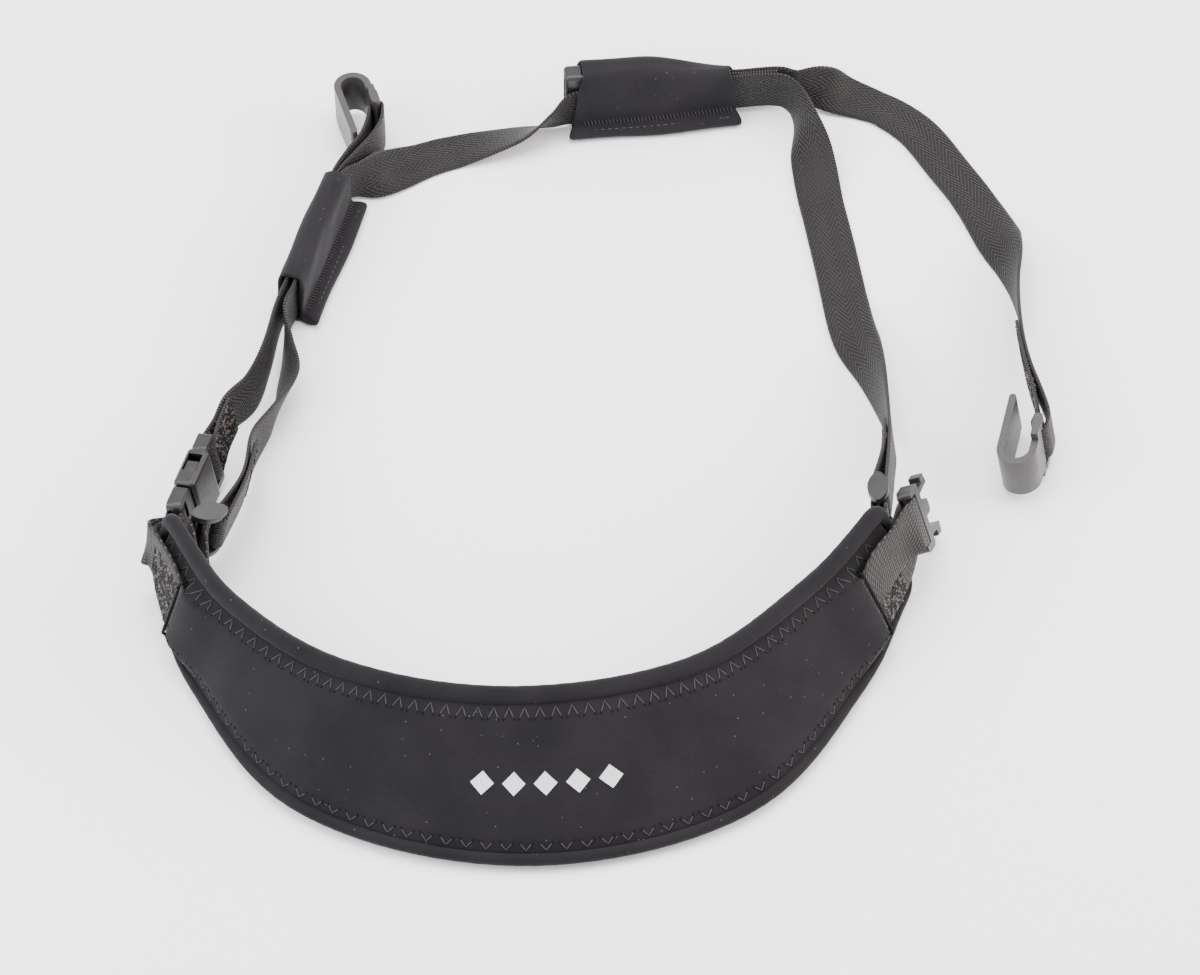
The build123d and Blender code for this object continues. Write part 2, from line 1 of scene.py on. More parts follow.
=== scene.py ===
import json
import math
import random
import bpy
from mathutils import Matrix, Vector
from mathutils.bvhtree import BVHTree


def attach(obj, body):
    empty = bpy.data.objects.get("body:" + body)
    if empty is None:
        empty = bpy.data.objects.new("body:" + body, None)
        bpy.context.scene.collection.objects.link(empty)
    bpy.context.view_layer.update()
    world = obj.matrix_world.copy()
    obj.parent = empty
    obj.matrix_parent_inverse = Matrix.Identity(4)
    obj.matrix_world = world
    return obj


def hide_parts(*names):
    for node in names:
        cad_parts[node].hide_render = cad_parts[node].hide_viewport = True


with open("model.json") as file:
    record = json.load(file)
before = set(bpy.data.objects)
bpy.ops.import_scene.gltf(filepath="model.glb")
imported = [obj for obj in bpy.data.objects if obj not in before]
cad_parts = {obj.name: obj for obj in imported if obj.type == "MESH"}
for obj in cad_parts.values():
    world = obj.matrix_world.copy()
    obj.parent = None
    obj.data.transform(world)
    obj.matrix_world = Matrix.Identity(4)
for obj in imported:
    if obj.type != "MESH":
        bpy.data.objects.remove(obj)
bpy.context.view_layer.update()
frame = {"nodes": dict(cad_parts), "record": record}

# Lengths are in millimetres up to the moment a mesh is made, then in metres.
MM = 0.001
ROOT = "strap_body"
UP = Vector((0, 0, 1))
TO_ORIGIN = Vector((0.3, 1.9, 0))     # puts the middle of the ring's outline over the origin

# ---- webbing ----
WEB_WIDTH = 20.0
WEB_THICK = 1.4
LAYER_STEP = 1.6
WEB_STEP = 1.6                        # distance between the sections of a webbing mesh

# ---- pad ----
PAD_HALF = 3.45                       # from the pad's middle to the face of its lining or cover
ROLL_UPPER = 7.5
ROLL_LOWER = 5.0
ROLL_END = 5.0
ROLL_HALF = 3.3
PAD_STEP = 4.0
FINE_STEP = 0.5                       # distance between the pad's closest sections
SLIT = 28.0                           # from each end of the pad to the cut edge of its cover
TUCK = 1.2                            # how far the cover runs in under the rolls
SEAM_HALF = 1.5                       # height of the cover above the pad's middle at its seams
SEAM_RISE = 1.5                       # its further rise, SEAM_WIDE in from them
SEAM_WIDE = 7.0
GROOVE = 0.55                         # depth of the sewn band
TAB_TOP = 7.3                         # height of the cover over the sewn tab ends
SEEK_FROM = 14.0                      # height above the pad's middle from which its surface is sought
STITCH_PITCH = 7.6                    # zigzag stitch, one whole period
STITCH_SECTIONS = 8                   # sections in one period
STITCH_HIGH = 4.8
# Bar tacked stretches of the straps, in millimetres from their start, or back from their end.
TACKED = [("main_strap", 1, 17), ("main_strap", -17, -1), ("hook_strap_left", 1, 25),
          ("hook_strap_left", 40, 62), ("hook_strap_right", -38, -2)]
GLINT_SHARE = 0.3                      # share of the bar tack stitches made pale, as painted glints on the thread
MOTIF_X = 24.0
MOTIF_ACROSS = -3.0
MOTIF_COUNT = 5
MOTIF_PITCH = 13.5
MOTIF_HIGH = 4.6

# ---- plastic hardware ----
TURN_R = 2.95                         # radius of webbing round a bar
ADJUSTER_BAR_X = 5.0
ADJUSTER_TURN_R = 2.65
MATED_RUN = 35.7                      # between the web bars of a closed buckle
HOOK_MID_R = 6.7
HOOK_BAR_X = 14.6

# ---- sleeves ----
SLEEVE_LONG = 68.0
NEOPRENE = 1.8
BORE_NARROW = (8.2, 21.2)
BORE_WIDE = (12.4, 27.8)
WIDE_LONG = 26.0
SLEEVE_ROWS = 30
CORNER_POINTS = 7                     # points of an outline at a corner, across its top and up a side
TOP_POINTS = 2
SIDE_POINTS = 4
FLANGE_REACH = 7.0
# Top, edge and underside of the flange, from the groove outwards and back: (outwards, upwards).
FLANGE_OUTLINE = [(0.0, 6.2), (0.9, 5.3), (2.6, 5.5), (4.8, 5.1), (6.5, 4.3), (7.0, 2.9), (6.3, 1.0),
                  (4.0, 0.3), (1.5, 0.15), (-2.0, 0.05)]

# ---- thread ----
THREAD_SIDES = 5
THREAD_TIP = 0.35                     # share of its radius a stitch keeps at its ends

random.seed(12)


# ---------------------------------------------------------------- camera, floor and light
def make_camera():
    """A long lens, 50 degrees above the surface, level with the ring's middle."""
    elevation = math.radians(50)
    distance = 1.6
    target = (Vector((-3, -24, 0)) + TO_ORIGIN) * MM
    back = Vector((0, -math.cos(elevation), math.sin(elevation)))
    camera = bpy.data.objects.new("camera", bpy.data.cameras.new("camera"))
    camera.data.lens = 117
    camera.data.sensor_width = 36
    camera.location = target + back * distance
    camera.rotation_mode = "QUATERNION"
    camera.rotation_quaternion = (-back).to_track_quat("-Z", "Y")
    bpy.context.scene.collection.objects.link(camera)
    bpy.context.scene.camera = camera


def make_lamp(name, place, size, power, colour):
    """A square soft lamp that points at the origin."""
    data = bpy.data.lights.new(name, "AREA")
    data.size = size
    data.energy = power
    data.color = colour
    lamp = bpy.data.objects.new(name, data)
    lamp.location = place
    lamp.rotation_mode = "QUATERNION"
    lamp.rotation_quaternion = Vector(place).to_track_quat("Z", "Y")
    bpy.context.scene.collection.objects.link(lamp)


def make_stage():
    """Pale floor, an even white sky and three soft lamps."""
    half = 4.0
    corners = [(-half, -half, 0), (half, -half, 0), (half, half, 0), (-half, half, 0)]
    floor_mesh = bpy.data.meshes.new("floor")
    floor_mesh.from_pydata([(x, y, -0.0003) for x, y, z in corners], [], [(0, 1, 2, 3)])
    floor = bpy.data.objects.new("floor", floor_mesh)
    bpy.context.scene.collection.objects.link(floor)
    paper = Finish("floor_paper", Base_Color=(0.97, 0.97, 0.97, 1), Roughness=0.9)
    floor.data.materials.append(paper.material)
    world = bpy.data.worlds.new("studio")
    world.use_nodes = True
    world.node_tree.nodes["Background"].inputs["Color"].default_value = (1, 1, 1, 1)
    world.node_tree.nodes["Background"].inputs["Strength"].default_value = 1.7
    bpy.context.scene.world = world
    make_lamp("lamp_top", (-0.1, 0.3, 1.5), 1.2, 36, (1, 1, 1))
    make_lamp("lamp_left", (-1.1, -0.3, 0.9), 0.7, 17, (0.88, 0.93, 1))
    make_lamp("lamp_right", (1.2, 0.1, 0.7), 0.7, 20, (1, 0.93, 0.88))


# ---------------------------------------------------------------- materials
class Finish:
    """A material being made, with short ways to add and join its nodes."""

    def __init__(self, name, **sockets):
        self.material = bpy.data.materials.new(name)
        self.material.use_nodes = True
        self.tree = self.material.node_tree
        self.shader = self.tree.nodes["Principled BSDF"]
        for socket, value in sockets.items():
            self.shader.inputs[socket.replace("_", " ")].default_value = value

    def feed(self, socket, value):
        if isinstance(value, bpy.types.NodeSocket):
            self.tree.links.new(value, socket)
        else:
            socket.default_value = value

    def add(self, kind, inputs=None, output=0, **settings):
        node = self.tree.nodes.new("ShaderNode" + kind)
        for key, value in settings.items():
            setattr(node, key, value)
        for key, value in (inputs or {}).items():
            self.feed(node.inputs[key], value)
        return node.outputs[output]

    def math(self, operation, a, b=0.0, c=0.0):
        return self.add("Math", {0: a, 1: b, 2: c}, operation=operation)

    def sine(self, value, period):
        return self.math("SINE", self.math("MULTIPLY", value, 2 * math.pi / period))

    def wave(self, value, period):
        """Ribs of the given period, between 0 and 1."""
        return self.math("MULTIPLY_ADD", self.sine(value, period), 0.5, 0.5)

    def ramp(self, value, low, high):
        """0 below low, 1 above high, smooth between."""
        return self.add("MapRange", {"Value": value, "From Min": low, "From Max": high},
                        interpolation_type="SMOOTHSTEP")

    def mix(self, factor, a, b):
        node = self.tree.nodes.new("ShaderNodeMix")
        node.data_type = "RGBA"
        self.feed(node.inputs[0], factor)
        self.feed(node.inputs[6], a)
        self.feed(node.inputs[7], b)
        return node.outputs[2]

    def noise(self, scale, detail=2.0, vector=None):
        inputs = {"Scale": scale, "Detail": detail, "Vector": vector or self.object_place()}
        return self.add("TexNoise", inputs)

    def object_place(self):
        return self.add("TexCoord", output=3)

    def cloth_place(self):
        """Millimetres along and across the cloth, as two values."""
        place = self.add("Attribute", output=1, attribute_name="cloth")
        node = self.tree.nodes.new("ShaderNodeSeparateXYZ")
        self.tree.links.new(place, node.inputs[0])
        return node.outputs[0], node.outputs[1]

    def bump(self, height, distance, strength=1.0, below=None):
        inputs = {"Height": height, "Distance": distance, "Strength": strength}
        if below is not None:
            inputs["Normal"] = below
        return self.add("Bump", inputs)

    def lint(self, spacing, share):
        """Small pale fibres: 1 on a speck, 0 elsewhere."""
        cells = self.add("TexVoronoi", {"Scale": 1 / spacing, "Vector": self.object_place()})
        patch = self.noise(0.35 / spacing, 1.0)
        speck = self.math("LESS_THAN", cells, 0.07)
        return self.math("MULTIPLY", speck, self.math("GREATER_THAN", patch, 1 - share))


def make_jersey(name, dark, pale):
    """Fine knitted cover: columns of loops, soft sheen, mottled dye and a little lint."""
    f = Finish(name, Roughness=0.9, Sheen_Weight=0.07, Sheen_Roughness=0.4, Specular_IOR_Level=0.16)
    along, across = f.cloth_place()
    columns = f.sine(along, 0.9)
    rows = f.sine(across, 0.7)
    knit = f.math("MULTIPLY_ADD", f.math("MULTIPLY", columns, rows), 0.5, 0.5)
    mottle = f.noise(38.0, 4.0)
    fuzz = f.noise(900.0, 3.0)
    colour = f.mix(f.ramp(mottle, 0.3, 0.7), (*dark, 1), (*pale, 1))
    colour = f.mix(f.math("MULTIPLY", knit, 0.3), colour, (*[c * 0.5 for c in dark], 1))
    colour = f.mix(f.math("MULTIPLY", f.lint(0.0045, 0.62), 0.38), colour, (0.12, 0.12, 0.12, 1))
    f.feed(f.shader.inputs["Base Color"], colour)
    soft = f.bump(mottle, 0.0008, 0.25)
    fine = f.bump(f.math("ADD", knit, f.math("MULTIPLY", fuzz, 0.8)), 0.00014, 0.7, soft)
    f.feed(f.shader.inputs["Normal"], fine)
    return f.material


def make_herringbone(name, dark, pale):
    """Webbing woven in chevrons: bands of slanting ribs, each rib a row of bright yarn dashes."""
    f = Finish(name, Roughness=0.55, Sheen_Weight=0.04, Sheen_Roughness=0.4, Specular_IOR_Level=0.22)
    along, across = f.cloth_place()
    band = f.math("PINGPONG", f.math("ADD", across, 50.0), 5.0)
    slant = f.math("MULTIPLY_ADD", band, 1.9, along)
    ribs = f.ramp(f.wave(slant, 3.1), 0.35, 0.95)
    yarns = f.wave(across, 0.83)
    dashes = f.math("MULTIPLY", ribs, f.math("MULTIPLY_ADD", yarns, 0.75, 0.25))
    dots = f.wave(along, 1.25)
    border = f.ramp(f.math("ABSOLUTE", across), 8.8, 9.2)
    weave = f.add("Mix", {0: border, 2: dashes, 3: dots})
    shade = f.noise(70.0, 3.0)
    tone = f.math("MULTIPLY_ADD", weave, 0.9, f.math("MULTIPLY", shade, 0.12))
    colour = f.mix(tone, (*dark, 1), (*pale, 1))
    f.feed(f.shader.inputs["Base Color"], colour)
    f.feed(f.shader.inputs["Normal"], f.bump(weave, 0.0008, 1.0, f.bump(f.noise(1500.0), 0.0001, 0.3)))
    return f.material


def make_twill(name, dark, pale):
    """Coarse webbing of the tabs: staggered dashes that climb at a slant."""
    f = Finish(name, Roughness=0.55, Sheen_Weight=0.04, Sheen_Roughness=0.4, Specular_IOR_Level=0.22)
    along, across = f.cloth_place()
    slant = f.math("MULTIPLY_ADD", across, 2.35, along)
    ribs = f.ramp(f.wave(slant, 3.6), 0.4, 0.9)
    dashes = f.wave(along, 1.9)
    weave = f.math("MULTIPLY", ribs, f.math("MULTIPLY_ADD", dashes, 0.75, 0.25))
    shade = f.noise(80.0, 3.0)
    tone = f.math("MULTIPLY_ADD", weave, 0.9, f.math("MULTIPLY", shade, 0.15))
    colour = f.mix(tone, (*dark, 1), (*pale, 1))
    f.feed(f.shader.inputs["Base Color"], colour)
    f.feed(f.shader.inputs["Normal"], f.bump(weave, 0.0007, 1.0, f.bump(f.noise(1500.0), 0.0001, 0.3)))
    return f.material


def make_plastic(name, base):
    """Satin moulded acetal with faint flow mottling, fine grain and paler scuffs."""
    f = Finish(name, Roughness=0.42, Specular_IOR_Level=0.4)
    flow = f.noise(60.0, 3.0)
    scuff = f.ramp(f.noise(420.0, 5.0), 0.56, 0.72)
    colour = f.mix(flow, (*[c * 0.88 for c in base], 1), (*[c * 1.12 for c in base], 1))
    colour = f.mix(f.math("MULTIPLY", scuff, 0.18), colour, (*[min(1, c * 1.7) for c in base], 1))
    f.feed(f.shader.inputs["Base Color"], colour)
    f.feed(f.shader.inputs["Roughness"], f.math("MULTIPLY_ADD", scuff, 0.14, 0.38))
    f.feed(f.shader.inputs["Normal"], f.bump(f.noise(2600.0, 2.0), 0.00006, 0.5))
    return f.material


def make_thread(name, colour):
    """Matte grainy finish, for sewing thread and for the printed motif."""
    f = Finish(name, Roughness=0.6, Specular_IOR_Level=0.15)
    tint = f.mix(f.noise(1400.0), (*[c * 0.7 for c in colour], 1), (*[c * 1.25 for c in colour], 1))
    f.feed(f.shader.inputs["Base Color"], tint)
    f.feed(f.shader.inputs["Normal"], f.bump(f.noise(3200.0), 0.0001, 0.5))
    return f.material


# ---------------------------------------------------------------- mesh helpers
def make_piece(name, points, faces, finish, body, cloth=None, smooth=True):
    """A mesh object of points in millimetres. Cloth holds (along, across, 0) of each point."""
    mesh = bpy.data.meshes.new(name)
    mesh.from_pydata([tuple(Vector(p) * MM) for p in points], [], faces)
    mesh.validate()
    for polygon in mesh.polygons:
        polygon.use_smooth = smooth
    if cloth:
        attribute = mesh.attributes.new("cloth", "FLOAT_VECTOR", "POINT")
        attribute.data.foreach_set("vector", [c for row in cloth for c in row])
    mesh.materials.append(finish)
    piece = bpy.data.objects.new(name, mesh)
    bpy.context.scene.collection.objects.link(piece)
    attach(piece, body)
    return piece


def tube_faces(rows, count, closed_ends=True):
    """Quads of a tube of rows of count points each, and its two end faces."""
    faces = []
    for i in range(rows - 1):
        for k in range(count):
            n = (k + 1) % count
            faces.append((i * count + k, i * count + n, (i + 1) * count + n, (i + 1) * count + k))
    if closed_ends:
        faces.append(tuple(reversed(range(count))))
        faces.append(tuple(range((rows - 1) * count, rows * count)))
    return faces


def subdivide(piece, levels=1):
    modifier = piece.modifiers.new("smooth", "SUBSURF")
    modifier.levels = levels
    modifier.render_levels = levels


def thread_mesh(name, runs, radius, finish, body):
    """Thread stitches: each run of points becomes a thin round tube that tapers at its ends."""
    points, faces = [], []
    for run in runs:
        start = len(points)
        for i, place in enumerate(run):
            ahead = (run[min(i + 1, len(run) - 1)] - run[max(i - 1, 0)]).normalized()
            side = ahead.cross(UP if abs(ahead.z) < 0.9 else Vector((1, 0, 0))).normalized()
            lift = ahead.cross(side)
            size = radius * (THREAD_TIP if i in (0, len(run) - 1) else 1.0)
            for k in range(THREAD_SIDES):
                turn_by = 2 * math.pi * k / THREAD_SIDES
                points.append(place + (side * math.cos(turn_by) + lift * math.sin(turn_by)) * size)
        faces += [tuple(start + v for v in face) for face in tube_faces(len(run), THREAD_SIDES)]
    return make_piece(name, points, faces, finish, body)


# ---------------------------------------------------------------- routes, close to those of the CAD source
def smooth_line(knots, step):
    """Rows of values along a smooth curve through the knots, whose first three values are a place."""
    lengths = [0.0]
    for a, b in zip(knots, knots[1:]):
        lengths.append(lengths[-1] + (Vector(b[:3]) - Vector(a[:3])).length)
    last = len(knots) - 1
    slopes = []
    for i in range(last + 1):
        low, high = max(i - 1, 0), min(i + 1, last)
        run = lengths[high] - lengths[low]
        slopes.append([(q - p) / run for p, q in zip(knots[low], knots[high])])
    line = []
    for i in range(last):
        run = lengths[i + 1] - lengths[i]
        pieces = max(1, round(run / step))
        for k in range(pieces + (i == last - 1)):
            s = k / pieces
            h0, h1 = 2 * s**3 - 3 * s**2 + 1, 3 * s**2 - 2 * s**3
            g0, g1 = s**3 - 2 * s**2 + s, s**3 - s**2
            ends = zip(knots[i], knots[i + 1], slopes[i], slopes[i + 1])
            line.append([h0 * p + h1 * q + run * (g0 * m + g1 * n) for p, q, m, n in ends])
    return line


class Place:
    """A plastic piece's own axes: x along the strap, y along its bars, z through its thickness."""

    def __init__(self, origin, along, bars):
        self.y = Vector(bars).normalized()
        along = Vector(along)
        self.x = (along - self.y * along.dot(self.y)).normalized()
        self.z = self.x.cross(self.y)
        self.origin = Vector(origin)

    def at(self, x=0.0, y=0.0, z=0.0):
        return self.origin + self.x * x + self.y * y + self.z * z

    def moved(self, x=0.0, y=0.0, z=0.0):
        return Place(self.at(x, y, z), self.x, self.y)


class Section:
    """A section across a soft piece: x up its width, y outwards from its face, z along it."""

    def __init__(self, origin, across, along):
        self.origin = Vector(origin)
        self.z = Vector(along).normalized()
        across = Vector(across)
        self.x = (across - self.z * across.dot(self.z)).normalized()
        self.y = self.z.cross(self.x)

    def at(self, x=0.0, y=0.0, z=0.0):
        return self.origin + self.x * x + self.y * y + self.z * z


def sections_of(line):
    places = [Vector(row[:3]) for row in line]
    found = []
    for i, row in enumerate(line):
        along = places[min(i + 1, len(line) - 1)] - places[max(i - 1, 0)]
        found.append(Section(places[i], row[3:6], along))
    return found


def knot(place, width_dir):
    return (*place, *width_dir)


def turn(place, x, radius, start, sweep, count=7):
    """Knots of webbing round a bar at x on a plastic piece."""
    knots = []
    for i in range(count):
        angle = math.radians(start + sweep * i / (count - 1))
        spot = place.at(x + radius * math.cos(angle), 0, radius * math.sin(angle))
        knots.append(knot(spot, place.y))
    return knots


def beside(place, x, offset):
    return knot(place.at(x, 0, offset), place.y)


def lean(heading, angle):
    left = Vector((-heading.y, heading.x, 0)).normalized()
    return left * math.cos(math.radians(angle)) + UP * math.sin(math.radians(angle))


# ---------------------------------------------------------------- layout
LEFT_HEADING = Vector((0.269, 0.963, 0))
male_left_at = Place((-171.5, -58, 17), LEFT_HEADING, lean(LEFT_HEADING, 83))
female_left_at = male_left_at.moved(MATED_RUN)
male_right_at = Place((122, -65, 27), (0.23, 0.88, -0.36), (-0.33, 0.55, 0.76))
adjuster_left_at = Place((-160, -67, 24.5), (0.94, 0.34, 0), (0.2, -0.05, 0.97))
adjuster_right_at = Place((109.5, -55, 24.5), (0.05, 0.99, 0), (-0.15, 0.03, 0.98))
hook_left_at = Place((-112, 187, 14), (0.3, -0.954, 0), UP)
hook_right_at = Place((168, -23, 14), (0.25, 0.965, 0.03), (-0.2, 0, 0.98))
bar_left_at = hook_left_at.moved(z=-HOOK_MID_R)
bar_right_at = hook_right_at.moved(z=HOOK_MID_R)


class SleevePlace(Section):
    """A sleeve's axes: x along it, y to its left, z up. It lies on the surface."""

    def __init__(self, origin, along):
        self.origin = Vector(origin)
        self.x = Vector(along).normalized()
        self.z = UP
        self.y = self.z.cross(self.x)


sleeve_left_at = SleevePlace((-134, 70, 0), (0.257, 0.966, 0))
sleeve_rear_at = SleevePlace((-11, 190, 0), (0.995, 0.1, 0))
female_right_at = Place(sleeve_rear_at.at(17.5, 1.0, 15.7), sleeve_rear_at.x, UP)

# Knots of the pad's lower and upper edges, left to right.
PAD_LOWER = [(-180, -77, 2.0), (-164, -126, 2.0), (-117, -189, 2.0), (-33, -213, 2.0),
             (50, -191, 2.0), (98, -131, 2.0), (118, -84, 2.0)]
PAD_UPPER = [(-169, -81, 46), (-145, -116, 46), (-97, -147.5, 44), (-33, -158.5, 43.5),
             (33, -144, 44), (79, -105.5, 46), (106, -70, 46)]


def pad_sections(step):
    """Sections along the pad with their widths, left to right."""
    line = smooth_line([low + high for low, high in zip(PAD_LOWER, PAD_UPPER)], step)
    centres = []
    for row in line:
        low, high = Vector(row[:3]), Vector(row[3:6])
        centres.append((*((low + high) * 0.5), *(high - low)))
    return sections_of(centres), [Vector(row[3:6]).length for row in centres]


coarse_sections = pad_sections(16.0)[0]


def on_pad(index, offset, beyond=0.0, across=0.0):
    section = coarse_sections[index]
    return knot(section.at(across, offset, beyond), section.x)


def in_sleeve(sleeve, x, y, z=NEOPRENE + BORE_NARROW[1] / 2):
    return knot(sleeve.at(x, y, z), UP)


def lying(x, y, width_dir, lift=0.0):
    across = Vector(width_dir).normalized()
    rise = WEB_WIDTH / 2 * abs(across.z) + WEB_THICK / 2 * math.sqrt(1 - across.z**2)
    return knot(Vector((x, y, rise + lift + 0.1)), across)


def half_twisted(knots):
    return [(*row[:3], *(-value for value in row[3:])) for row in knots]


def free(x, y, z, place):
    return knot(Vector((x, y, z)), place.y)


UNDER = PAD_HALF + 0.9
OVER = UNDER + LAYER_STEP
MAIN_SIDE, TAIL_SIDE, HOOK_SIDE = -1.9, 0.0, 1.9
MAIN_BESIDE_BUCKLE = -5.05
ON_EDGE = (0, 0, 1)

ROUTES = {
    "tab_outer_left": [
        on_pad(2, UNDER, 0, -7), on_pad(1, UNDER, 0, -6), on_pad(0, UNDER, 0, -1), on_pad(0, UNDER, -7),
        beside(male_left_at, -6, 2.2), *turn(male_left_at, 0, TURN_R, 90, -180),
        beside(male_left_at, -6, -2.2), on_pad(0, OVER, -7, 2), on_pad(0, OVER, 0, 4), on_pad(1, OVER, 0, 4),
        on_pad(2, OVER, 0, -1)],
    "tab_outer_right": [
        on_pad(-3, UNDER, 0, -7), on_pad(-2, UNDER + 0.2, 0, -7), on_pad(-1, UNDER + 0.7, 0, -4),
        beside(male_right_at, -7, -2.2), beside(male_right_at, -3, -2.8),
        *turn(male_right_at, 0, TURN_R, -90, 180), beside(male_right_at, -3, 2.8),
        beside(male_right_at, -7, 2.2),
        on_pad(-1, OVER + 0.9, 0, 5), on_pad(-2, OVER + 0.3, 0, 5), on_pad(-3, OVER, 0, -1)],
    "tab_inner_left": [
        on_pad(3, -UNDER), on_pad(2, -UNDER - 0.2), on_pad(1, -UNDER - 1.6),
        beside(adjuster_left_at, -8.2, 7),
        *turn(adjuster_left_at, -ADJUSTER_BAR_X, ADJUSTER_TURN_R, 187, 180),
        beside(adjuster_left_at, -3.3, 7), on_pad(1, -OVER - 3.9), on_pad(2, -OVER - 0.4), on_pad(3, -OVER)],
    "tab_inner_right": [
        on_pad(-4, -UNDER), on_pad(-3, -UNDER), on_pad(-2, -UNDER - 0.4), on_pad(-1, -UNDER - 1.2),
        beside(adjuster_right_at, -10, 2.2),
        *turn(adjuster_right_at, -ADJUSTER_BAR_X, ADJUSTER_TURN_R, 90, -180),
        beside(adjuster_right_at, -10, -2.6),
        on_pad(-1, -OVER - 2.6), on_pad(-2, -OVER - 0.6), on_pad(-3, -OVER), on_pad(-4, -OVER)],
    "main_strap": [
        free(-144.2, -21, 16, adjuster_left_at), free(-146.6, -42, 20, adjuster_left_at),
        *turn(adjuster_left_at, ADJUSTER_BAR_X, ADJUSTER_TURN_R, 28, 180),
        free(-148.9, -41.5, 20, adjuster_left_at), lying(-144.6, -13, ON_EDGE, 3),
        lying(-138.5, 3, (0.15, 0, 1), 1), lying(-134.5, 16, (0.4, 0, 0.9)),
        lying(-133, 28, (0.5, 0, 0.86)), lying(-134, 42, (0.25, 0, 0.97)),
        in_sleeve(sleeve_left_at, -12, MAIN_SIDE), in_sleeve(sleeve_left_at, 0, MAIN_SIDE),
        in_sleeve(sleeve_left_at, 34, MAIN_SIDE), in_sleeve(sleeve_left_at, SLEEVE_LONG, MAIN_SIDE),
        lying(-108.5, 142, ON_EDGE, 1), lying(-100, 147, (-0.35, 0.45, 0.8)),
        lying(-92, 154, (-0.5, 0.75, 0.45)), lying(-82, 162, (-0.45, 0.88, 0.1)),
        lying(-68, 168.5, (-0.35, 0.93, 0)), lying(-52, 172, (-0.3, 0.92, -0.25)),
        lying(-37, 175.5, (-0.2, 0.8, -0.5)), lying(-24, 180, (-0.1, 0.45, -0.9)),
        *half_twisted([
            in_sleeve(sleeve_rear_at, -3, MAIN_BESIDE_BUCKLE, 12.4),
            in_sleeve(sleeve_rear_at, 24, MAIN_BESIDE_BUCKLE, 12.4),
            in_sleeve(sleeve_rear_at, 46, -3.2), in_sleeve(sleeve_rear_at, SLEEVE_LONG, MAIN_SIDE),
            in_sleeve(sleeve_rear_at, SLEEVE_LONG + 20, MAIN_SIDE - 0.8), lying(83.5, 192, (0.1, 0, 1), 0.5),
            lying(87.5, 178, (0.4, 0.1, 0.9)), lying(90.5, 160, (0.9, 0.2, 0.4)),
            lying(93.5, 138, (1, 0.14, 0)),
            lying(97.5, 111, (1, 0.14, 0)), lying(101, 84, (1, 0.1, 0)), lying(104.5, 56, (0.9, 0.1, 0.4)),
            lying(110, 35, (0.5, 0.1, 0.85)), lying(114.5, 12, (0.1, 0, 1), 1),
            free(116.6, -8, 14.5, adjuster_right_at), free(115.0, -28, 20, adjuster_right_at),
            *turn(adjuster_right_at, ADJUSTER_BAR_X, ADJUSTER_TURN_R, 90, 180),
            free(112.7, -27.6, 20, adjuster_right_at), free(114.4, -10, 15.5, adjuster_right_at)])],
    "hook_strap_left": [
        beside(female_left_at, 26, 0.95), beside(female_left_at, 14, 1.1), beside(female_left_at, 6, 2.2),
        *turn(female_left_at, 0, TURN_R, 90, 180), beside(female_left_at, 6, -2.2),
        beside(female_left_at, 14, -1.1), beside(female_left_at, 26, -0.95),
        lying(-147.8, 18, (-0.15, 0.05, 1), 1.5), lying(-142.6, 36, (-0.05, 0, 1), 2),
        in_sleeve(sleeve_left_at, -12, HOOK_SIDE), in_sleeve(sleeve_left_at, 0, HOOK_SIDE),
        in_sleeve(sleeve_left_at, 34, HOOK_SIDE), in_sleeve(sleeve_left_at, SLEEVE_LONG, HOOK_SIDE),
        free(-112.8, 147.5, 13.8, hook_left_at), free(-107.3, 157.5, 14, hook_left_at),
        free(-104.8, 167, 14, hook_left_at), *turn(bar_left_at, HOOK_BAR_X, TURN_R, 90, 180),
        free(-98.7, 167, 14, hook_left_at), free(-102.3, 157.5, 14, hook_left_at),
        free(-108.8, 147.5, 13.6, hook_left_at), in_sleeve(sleeve_left_at, SLEEVE_LONG, TAIL_SIDE),
        in_sleeve(sleeve_left_at, SLEEVE_LONG - 30, TAIL_SIDE)],
    "hook_strap_right": [
        in_sleeve(sleeve_rear_at, SLEEVE_LONG + 19, TAIL_SIDE),
        in_sleeve(sleeve_rear_at, SLEEVE_LONG, TAIL_SIDE),
        in_sleeve(sleeve_rear_at, 48, 0.2, 14.5), in_sleeve(sleeve_rear_at, 31, 0.4, 16.6),
        beside(female_right_at, 6, 2.2), *turn(female_right_at, 0, TURN_R, 90, 180),
        beside(female_right_at, 6, -2.2), in_sleeve(sleeve_rear_at, 31, 2.6, 16.6),
        in_sleeve(sleeve_rear_at, 48, HOOK_SIDE, 14.5),
        in_sleeve(sleeve_rear_at, SLEEVE_LONG, HOOK_SIDE),
        in_sleeve(sleeve_rear_at, SLEEVE_LONG + 20, HOOK_SIDE),
        lying(84, 199.8, ON_EDGE, 1), lying(96, 200, (0.1, 0.5, 0.9), 1), lying(108, 200.5, (0.15, 1, 0.3)),
        lying(120, 197, (0.45, 0.9, 0)), lying(129.7, 190, (0.6, 0.8, 0)), lying(139, 179.5, (0.75, 0.65, 0)),
        lying(149.5, 160, (0.85, 0.5, 0)), lying(161.5, 136, (0.9, 0.4, 0)), lying(168, 116, (0.9, 0.3, 0.3)),
        lying(172.3, 97, (0.5, 0.1, 0.85)), lying(174.2, 77, ON_EDGE), free(174.6, 52, 12.5, hook_right_at),
        free(176.4, 27, 14.5, hook_right_at), beside(bar_right_at, HOOK_BAR_X + 8, 2.2),
        *turn(bar_right_at, HOOK_BAR_X, TURN_R, 90, 180), beside(bar_right_at, HOOK_BAR_X + 8, -2.2),
        free(174.6, 27, 14.5, hook_right_at), free(173.0, 48, 12.8, hook_right_at)],
}


